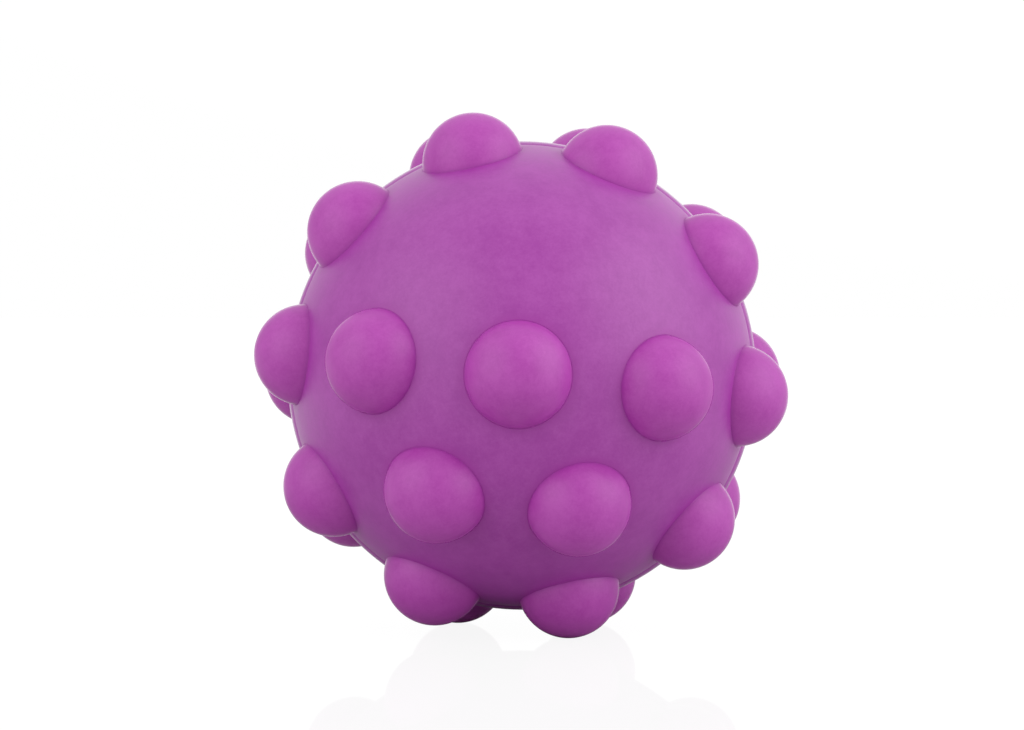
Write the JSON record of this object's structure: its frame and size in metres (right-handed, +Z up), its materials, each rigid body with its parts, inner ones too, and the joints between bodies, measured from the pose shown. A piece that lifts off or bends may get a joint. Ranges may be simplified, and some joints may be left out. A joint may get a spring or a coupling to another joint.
{
  "type": "sensory pop ball",
  "caption": "Hollow silicone ball of two bonded halves, set with round bubbles that a finger pops through to the inside one by one.",
  "frame": {"origin": "centre of the ball, in the seam plane", "axes": "+Y from the front half's pole to the rear half's pole, the seam in the XZ plane, +Z up as the ball lies in the picture"},
  "size_m": [0.0776, 0.0798, 0.0762],
  "materials": {
    "skin": "matte",
    "bubble": "matte",
    "bond": "matte"
  },
  "bodies": {
    "shell": {"front_half": "skin", "rear_half": "skin", "seam_bond": "bond"},
    "front_pole_bubble": {"front_pole_bubble": "bubble"},
    "front_inner_bubble_1": {"front_inner_bubble_1": "bubble"},
    "front_inner_bubble_2": {"front_inner_bubble_2": "bubble"},
    "front_inner_bubble_3": {"front_inner_bubble_3": "bubble"},
    "front_inner_bubble_4": {"front_inner_bubble_4": "bubble"},
    "front_rim_bubble_1": {"front_rim_bubble_1": "bubble"},
    "front_rim_bubble_2": {"front_rim_bubble_2": "bubble"},
    "front_rim_bubble_3": {"front_rim_bubble_3": "bubble"},
    "front_rim_bubble_4": {"front_rim_bubble_4": "bubble"},
    "front_rim_bubble_5": {"front_rim_bubble_5": "bubble"},
    "front_rim_bubble_6": {"front_rim_bubble_6": "bubble"},
    "front_rim_bubble_7": {"front_rim_bubble_7": "bubble"},
    "front_rim_bubble_8": {"front_rim_bubble_8": "bubble"},
    "front_rim_bubble_9": {"front_rim_bubble_9": "bubble"},
    "front_rim_bubble_10": {"front_rim_bubble_10": "bubble"},
    "rear_pole_bubble": {"rear_pole_bubble": "bubble"},
    "rear_inner_bubble_1": {"rear_inner_bubble_1": "bubble"},
    "rear_inner_bubble_2": {"rear_inner_bubble_2": "bubble"},
    "rear_inner_bubble_3": {"rear_inner_bubble_3": "bubble"},
    "rear_inner_bubble_4": {"rear_inner_bubble_4": "bubble"},
    "rear_rim_bubble_1": {"rear_rim_bubble_1": "bubble"},
    "rear_rim_bubble_2": {"rear_rim_bubble_2": "bubble"},
    "rear_rim_bubble_3": {"rear_rim_bubble_3": "bubble"},
    "rear_rim_bubble_4": {"rear_rim_bubble_4": "bubble"},
    "rear_rim_bubble_5": {"rear_rim_bubble_5": "bubble"},
    "rear_rim_bubble_6": {"rear_rim_bubble_6": "bubble"},
    "rear_rim_bubble_7": {"rear_rim_bubble_7": "bubble"},
    "rear_rim_bubble_8": {"rear_rim_bubble_8": "bubble"},
    "rear_rim_bubble_9": {"rear_rim_bubble_9": "bubble"},
    "rear_rim_bubble_10": {"rear_rim_bubble_10": "bubble"}
  },
  "joints": [
    {"name": "front_pole_bubble_pop", "type": "slide", "parent": "shell", "child": "front_pole_bubble", "axis": [0, 1, 0], "range_m": [0, 0.012]},
    {"name": "front_inner_bubble_1_pop", "type": "slide", "parent": "shell", "child": "front_inner_bubble_1", "axis": [0.6014, 0.797, -0.0563], "range_m": [0, 0.012]},
    {"name": "front_inner_bubble_2_pop", "type": "slide", "parent": "shell", "child": "front_inner_bubble_2", "axis": [0.3495, 0.797, 0.4926], "range_m": [0, 0.012]},
    {"name": "front_inner_bubble_3_pop", "type": "slide", "parent": "shell", "child": "front_inner_bubble_3", "axis": [-0.2519, 0.797, 0.549], "range_m": [0, 0.012]},
    {"name": "front_inner_bubble_4_pop", "type": "slide", "parent": "shell", "child": "front_inner_bubble_4", "axis": [-0.6014, 0.797, 0.0563], "range_m": [0, 0.012]},
    {"name": "front_rim_bubble_1_pop", "type": "slide", "parent": "shell", "child": "front_rim_bubble_1", "axis": [-0.9632, 0.2533, 0.0902], "range_m": [0, 0.012]},
    {"name": "front_rim_bubble_2_pop", "type": "slide", "parent": "shell", "child": "front_rim_bubble_2", "axis": [-0.8322, 0.2533, -0.4932], "range_m": [0, 0.012]},
    {"name": "front_rim_bubble_3_pop", "type": "slide", "parent": "shell", "child": "front_rim_bubble_3", "axis": [-0.3834, 0.2533, -0.8881], "range_m": [0, 0.012]},
    {"name": "front_rim_bubble_4_pop", "type": "slide", "parent": "shell", "child": "front_rim_bubble_4", "axis": [0.2119, 0.2533, -0.9439], "range_m": [0, 0.012]},
    {"name": "front_rim_bubble_5_pop", "type": "slide", "parent": "shell", "child": "front_rim_bubble_5", "axis": [0.7262, 0.2533, -0.6391], "range_m": [0, 0.012]},
    {"name": "front_rim_bubble_6_pop", "type": "slide", "parent": "shell", "child": "front_rim_bubble_6", "axis": [0.9632, 0.2533, -0.0902], "range_m": [0, 0.012]},
    {"name": "front_rim_bubble_7_pop", "type": "slide", "parent": "shell", "child": "front_rim_bubble_7", "axis": [0.8322, 0.2533, 0.4932], "range_m": [0, 0.012]},
    {"name": "front_rim_bubble_8_pop", "type": "slide", "parent": "shell", "child": "front_rim_bubble_8", "axis": [0.3834, 0.2533, 0.8881], "range_m": [0, 0.012]},
    {"name": "front_rim_bubble_9_pop", "type": "slide", "parent": "shell", "child": "front_rim_bubble_9", "axis": [-0.2119, 0.2533, 0.9439], "range_m": [0, 0.012]},
    {"name": "front_rim_bubble_10_pop", "type": "slide", "parent": "shell", "child": "front_rim_bubble_10", "axis": [-0.7262, 0.2533, 0.6391], "range_m": [0, 0.012]},
    {"name": "rear_pole_bubble_pop", "type": "slide", "parent": "shell", "child": "rear_pole_bubble", "axis": [0, -1, 0], "range_m": [0, 0.012]},
    {"name": "rear_inner_bubble_1_pop", "type": "slide", "parent": "shell", "child": "rear_inner_bubble_1", "axis": [-0.604, -0.797, 0], "range_m": [0, 0.012]},
    {"name": "rear_inner_bubble_2_pop", "type": "slide", "parent": "shell", "child": "rear_inner_bubble_2", "axis": [-0.302, -0.797, 0.5231], "range_m": [0, 0.012]},
    {"name": "rear_inner_bubble_3_pop", "type": "slide", "parent": "shell", "child": "rear_inner_bubble_3", "axis": [0.302, -0.797, 0.5231], "range_m": [0, 0.012]},
    {"name": "rear_inner_bubble_4_pop", "type": "slide", "parent": "shell", "child": "rear_inner_bubble_4", "axis": [0.604, -0.797, 0], "range_m": [0, 0.012]},
    {"name": "rear_rim_bubble_1_pop", "type": "slide", "parent": "shell", "child": "rear_rim_bubble_1", "axis": [0.9674, -0.2533, 0], "range_m": [0, 0.012]},
    {"name": "rear_rim_bubble_2_pop", "type": "slide", "parent": "shell", "child": "rear_rim_bubble_2", "axis": [0.7826, -0.2533, -0.5686], "range_m": [0, 0.012]},
    {"name": "rear_rim_bubble_3_pop", "type": "slide", "parent": "shell", "child": "rear_rim_bubble_3", "axis": [0.2989, -0.2533, -0.92], "range_m": [0, 0.012]},
    {"name": "rear_rim_bubble_4_pop", "type": "slide", "parent": "shell", "child": "rear_rim_bubble_4", "axis": [-0.2989, -0.2533, -0.92], "range_m": [0, 0.012]},
    {"name": "rear_rim_bubble_5_pop", "type": "slide", "parent": "shell", "child": "rear_rim_bubble_5", "axis": [-0.7826, -0.2533, -0.5686], "range_m": [0, 0.012]},
    {"name": "rear_rim_bubble_6_pop", "type": "slide", "parent": "shell", "child": "rear_rim_bubble_6", "axis": [-0.9674, -0.2533, 0], "range_m": [0, 0.012]},
    {"name": "rear_rim_bubble_7_pop", "type": "slide", "parent": "shell", "child": "rear_rim_bubble_7", "axis": [-0.7826, -0.2533, 0.5686], "range_m": [0, 0.012]},
    {"name": "rear_rim_bubble_8_pop", "type": "slide", "parent": "shell", "child": "rear_rim_bubble_8", "axis": [-0.2989, -0.2533, 0.92], "range_m": [0, 0.012]},
    {"name": "rear_rim_bubble_9_pop", "type": "slide", "parent": "shell", "child": "rear_rim_bubble_9", "axis": [0.2989, -0.2533, 0.92], "range_m": [0, 0.012]},
    {"name": "rear_rim_bubble_10_pop", "type": "slide", "parent": "shell", "child": "rear_rim_bubble_10", "axis": [0.7826, -0.2533, 0.5686], "range_m": [0, 0.012]}
  ]
}
